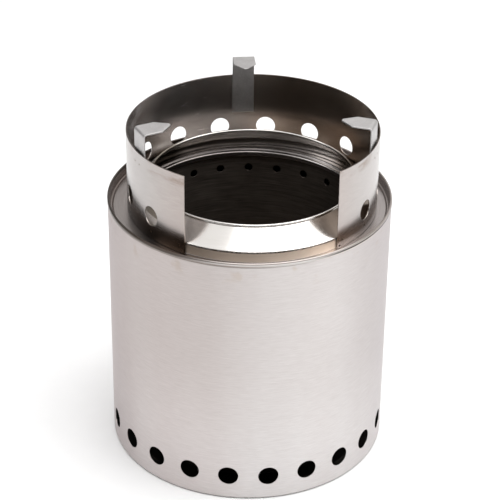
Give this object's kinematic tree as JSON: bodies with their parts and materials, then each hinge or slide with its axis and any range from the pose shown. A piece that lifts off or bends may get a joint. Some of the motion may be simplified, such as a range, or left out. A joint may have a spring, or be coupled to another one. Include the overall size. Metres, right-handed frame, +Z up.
{
  "type": "camping stove",
  "caption": "Double-walled wood-burning camping stove with air holes round its foot and a lift-off pot ring with a feed opening and inward pot supports.",
  "frame": {"origin": "centre of the underside, on the surface that the stove stands on", "axes": "+Z up along the stove's axis; the feed opening of the pot ring looks along -Y, turned by a few degrees as the ring lies; +X to the right seen from the feed opening"},
  "size_m": [0.1782, 0.1782, 0.231],
  "materials": {
    "shell_steel": "fine brushing round the body",
    "seat_steel": "turned, mid grey",
    "inner_steel": "heat tinted brown",
    "grate_wire": "dark oxidised wire",
    "ring_steel": "fine brushing round the ring, faint heat tint",
    "cone_steel": "bright polished",
    "bracket_steel": "matt grey with bright cut edges",
    "weld_steel": "dark burnt spot welds"
  },
  "bodies": {
    "stove_body": {"ash_pan": "inner_steel", "base_plate": "shell_steel", "burn_chamber": "inner_steel", "grate_support": "inner_steel", "heat_shield": "inner_steel", "outer_shell": "shell_steel", "rim_and_seat": "seat_steel"},
    "grate": {"grate_hoop_1": "grate_wire", "grate_hoop_2": "grate_wire", "grate_hoop_3": "grate_wire", "grate_hoop_4": "grate_wire", "grate_spoke_1": "grate_wire", "grate_spoke_2": "grate_wire", "grate_spoke_3": "grate_wire", "grate_spoke_4": "grate_wire"},
    "pot_ring": {"bracket_weld_left_1": "weld_steel", "bracket_weld_left_2": "weld_steel", "bracket_weld_rear_1": "weld_steel", "bracket_weld_rear_2": "weld_steel", "bracket_weld_right_1": "weld_steel", "bracket_weld_right_2": "weld_steel", "end_weld_lower_left": "weld_steel", "end_weld_lower_right": "weld_steel", "end_weld_upper_left": "weld_steel", "end_weld_upper_right": "weld_steel", "flame_cone": "cone_steel", "pot_bracket_left": "bracket_steel", "pot_bracket_rear": "bracket_steel", "pot_bracket_right": "bracket_steel", "ring_wall": "ring_steel", "vent_weld_1": "weld_steel", "vent_weld_10": "weld_steel", "vent_weld_11": "weld_steel", "vent_weld_12": "weld_steel", "vent_weld_2": "weld_steel", "vent_weld_3": "weld_steel", "vent_weld_4": "weld_steel", "vent_weld_5": "weld_steel", "vent_weld_6": "weld_steel", "vent_weld_7": "weld_steel", "vent_weld_8": "weld_steel", "vent_weld_9": "weld_steel"}
  },
  "joints": [
    {"name": "pot_ring_lift", "type": "slide", "parent": "stove_body", "child": "pot_ring", "axis": [0, 0, 1], "range_m": [0, 0.075]},
    {"name": "grate_lift", "type": "slide", "parent": "stove_body", "child": "grate", "axis": [0, 0, 1], "range_m": [0, 0.1]}
  ]
}
